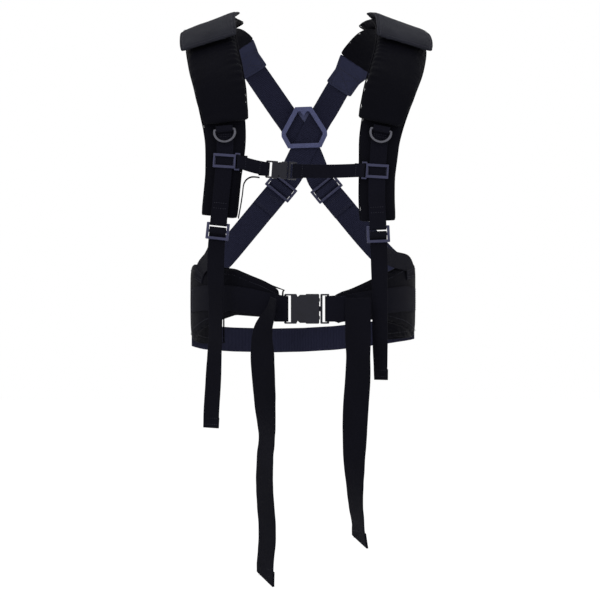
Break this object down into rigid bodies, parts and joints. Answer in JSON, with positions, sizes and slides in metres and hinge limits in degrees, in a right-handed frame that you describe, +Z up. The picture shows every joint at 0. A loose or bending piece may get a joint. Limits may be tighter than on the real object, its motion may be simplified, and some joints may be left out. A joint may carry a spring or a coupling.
{
  "type": "tool belt harness",
  "caption": "Padded tool belt carried by a shoulder harness: cushioned straps crossing in a back ring, side-release buckles at waist and chest, hanging webbing ends.",
  "frame": {"origin": "midway between the two shoulders, at the height of the undersides of the shoulder straps", "axes": "+Z up the standing wearer, -Y out of the chest, +X to the wearer's left"},
  "size_m": [0.3788, 0.2906, 0.8639],
  "materials": {
    "padding_cover": "matt woven nylon over foam",
    "lining_fabric": "flat woven nylon",
    "wide_webbing": "ribbed polypropylene webbing",
    "narrow_webbing": "ribbed polypropylene webbing",
    "plastic": "moulded acetal",
    "ring_plastic": "moulded acetal",
    "wire": "plated welded wire"
  },
  "bodies": {
    "harness": {"adjuster_webbing_left": "narrow_webbing", "adjuster_webbing_right": "narrow_webbing", "back_strap_left": "wide_webbing", "back_strap_right": "wide_webbing", "belt_webbing_left": "wide_webbing", "belt_webbing_right": "wide_webbing", "cross_ring": "ring_plastic", "d_ring_keeper_left": "narrow_webbing", "d_ring_keeper_right": "narrow_webbing", "hip_pad_left": "padding_cover", "hip_pad_right": "padding_cover", "rear_belt": "wide_webbing", "shoulder_cushion_left": "padding_cover", "shoulder_cushion_right": "padding_cover", "shoulder_strap_left": "padding_cover", "shoulder_strap_right": "padding_cover", "strap_patch_left": "lining_fabric", "strap_patch_right": "lining_fabric", "strap_webbing_left": "narrow_webbing", "strap_webbing_right": "narrow_webbing", "waist_buckle_socket": "plastic", "yoke_left": "lining_fabric", "yoke_right": "lining_fabric"},
    "waist_plug": {"waist_buckle_plug": "plastic"},
    "waist_prong_up": {"waist_prong_upper": "plastic"},
    "waist_prong_low": {"waist_prong_lower": "plastic"},
    "chest_strap": {"sternum_slider_right": "plastic", "sternum_slider_left": "plastic", "sternum_webbing_right": "narrow_webbing", "sternum_webbing_left": "narrow_webbing", "sternum_buckle_socket": "plastic", "sternum_tail": "narrow_webbing"},
    "chest_plug": {"sternum_buckle_plug": "plastic"},
    "chest_prong_up": {"sternum_prong_upper": "plastic"},
    "chest_prong_low": {"sternum_prong_lower": "plastic"},
    "d_ring_body_right": {"d_ring_right": "wire"},
    "lock_body_right": {"ladder_lock_right": "plastic", "adjuster_fold_right": "narrow_webbing"},
    "shoulder_tail_body_right": {"shoulder_tail_right": "narrow_webbing"},
    "belt_tail_body_right": {"belt_tail_right": "wide_webbing"},
    "glide_body_right": {"tri_glide_right": "plastic", "tri_glide_loop_right": "wide_webbing"},
    "flap_body_right": {"cushion_flap_right": "lining_fabric"},
    "d_ring_body_left": {"d_ring_left": "wire"},
    "lock_body_left": {"ladder_lock_left": "plastic", "adjuster_fold_left": "narrow_webbing"},
    "shoulder_tail_body_left": {"shoulder_tail_left": "narrow_webbing"},
    "belt_tail_body_left": {"belt_tail_left": "wide_webbing"},
    "glide_body_left": {"tri_glide_left": "plastic", "tri_glide_loop_left": "wide_webbing"},
    "flap_body_left": {"cushion_flap_left": "lining_fabric"}
  },
  "joints": [
    {"name": "waist_release", "type": "slide", "parent": "harness", "child": "waist_plug", "axis": [1, 0, 0], "range_m": [0, 0.036], "deforming": ["belt_webbing_left"]},
    {"name": "waist_prong_up_press", "type": "hinge", "parent": "waist_plug", "child": "waist_prong_up", "pos_m": [0.0254, -0.1292, -0.3948], "axis": [0, -1, 0], "range_deg": [0, 8], "stiffness_Nm_per_rad": 1},
    {"name": "waist_prong_low_press", "type": "hinge", "parent": "waist_plug", "child": "waist_prong_low", "pos_m": [0.0254, -0.1292, -0.4212], "axis": [0, -1, 0], "range_deg": [-8, 0], "stiffness_Nm_per_rad": 1},
    {"name": "chest_height", "type": "slide", "parent": "harness", "child": "chest_strap", "axis": [0.0572, 0.0303, 0.9979], "range_m": [-0.025, 0.01]},
    {"name": "chest_release", "type": "slide", "parent": "chest_strap", "child": "chest_plug", "axis": [0.9976, 0, -0.0698], "range_m": [0, 0.019], "deforming": ["sternum_webbing_left"]},
    {"name": "chest_prong_up_press", "type": "hinge", "parent": "chest_plug", "child": "chest_prong_up", "pos_m": [-0.02144, -0.12647, -0.19657], "axis": [0, -1, 0], "range_deg": [0, 8], "stiffness_Nm_per_rad": 0.4},
    {"name": "chest_prong_low_press", "type": "hinge", "parent": "chest_plug", "child": "chest_prong_low", "pos_m": [-0.02251, -0.12647, -0.21184], "axis": [0, -1, 0], "range_deg": [-8, 0], "stiffness_Nm_per_rad": 0.4},
    {"name": "d_ring_swing_right", "type": "hinge", "parent": "harness", "child": "d_ring_body_right", "pos_m": [-0.11623, -0.12426, -0.14335], "axis": [-0.9951, -0.005, -0.099], "range_deg": [0, 90]},
    {"name": "lock_tilt_right", "type": "hinge", "parent": "harness", "child": "lock_body_right", "pos_m": [-0.12517, -0.12007, -0.283], "axis": [-0.9946, 0.0052, 0.1037], "range_deg": [0, 30], "deforming": ["adjuster_webbing_right"]},
    {"name": "shoulder_tail_swing_right", "type": "hinge", "parent": "lock_body_right", "child": "shoulder_tail_body_right", "pos_m": [-0.1277, -0.11805, -0.30734], "axis": [-1, 0, 0], "range_deg": [0, 60]},
    {"name": "belt_tail_swing_right", "type": "hinge", "parent": "harness", "child": "belt_tail_body_right", "pos_m": [-0.0437, -0.14431, -0.392], "axis": [-1, 0, 0], "range_deg": [0, 60]},
    {"name": "glide_slide_right", "type": "slide", "parent": "harness", "child": "glide_body_right", "axis": [0.6211, -0.1574, -0.7678], "range_m": [0, 0.02]},
    {"name": "flap_lift_right", "type": "hinge", "parent": "harness", "child": "flap_body_right", "pos_m": [-0.13294, 0.03968, 0.03099], "axis": [-0.8648, 0.3347, -0.3743], "range_deg": [0, 60]},
    {"name": "d_ring_swing_left", "type": "hinge", "parent": "harness", "child": "d_ring_body_left", "pos_m": [0.11538, -0.12425, -0.14374], "axis": [-0.9806, 0.0098, 0.1956], "range_deg": [0, 90]},
    {"name": "lock_tilt_left", "type": "hinge", "parent": "harness", "child": "lock_body_left", "pos_m": [0.11058, -0.12017, -0.28716], "axis": [-0.9991, -0.0021, -0.0423], "range_deg": [0, 30], "deforming": ["adjuster_webbing_left"]},
    {"name": "shoulder_tail_swing_left", "type": "hinge", "parent": "lock_body_left", "child": "shoulder_tail_body_left", "pos_m": [0.11161, -0.11814, -0.31161], "axis": [-1, 0, 0], "range_deg": [0, 60]},
    {"name": "belt_tail_swing_left", "type": "hinge", "parent": "harness", "child": "belt_tail_body_left", "pos_m": [0.0803, -0.13531, -0.392], "axis": [-1, 0, 0], "range_deg": [0, 60]},
    {"name": "glide_slide_left", "type": "slide", "parent": "harness", "child": "glide_body_left", "axis": [-0.6239, -0.1569, -0.7656], "range_m": [0, 0.02]},
    {"name": "flap_lift_left", "type": "hinge", "parent": "harness", "child": "flap_body_left", "pos_m": [0.13069, 0.04048, 0.02912], "axis": [-0.8087, -0.4497, 0.3792], "range_deg": [0, 60]}
  ],
  "couplings": [
    {"joint": "waist_prong_low_press", "follows": "waist_prong_up_press", "ratio": -1},
    {"joint": "chest_prong_low_press", "follows": "chest_prong_up_press", "ratio": -1}
  ]
}
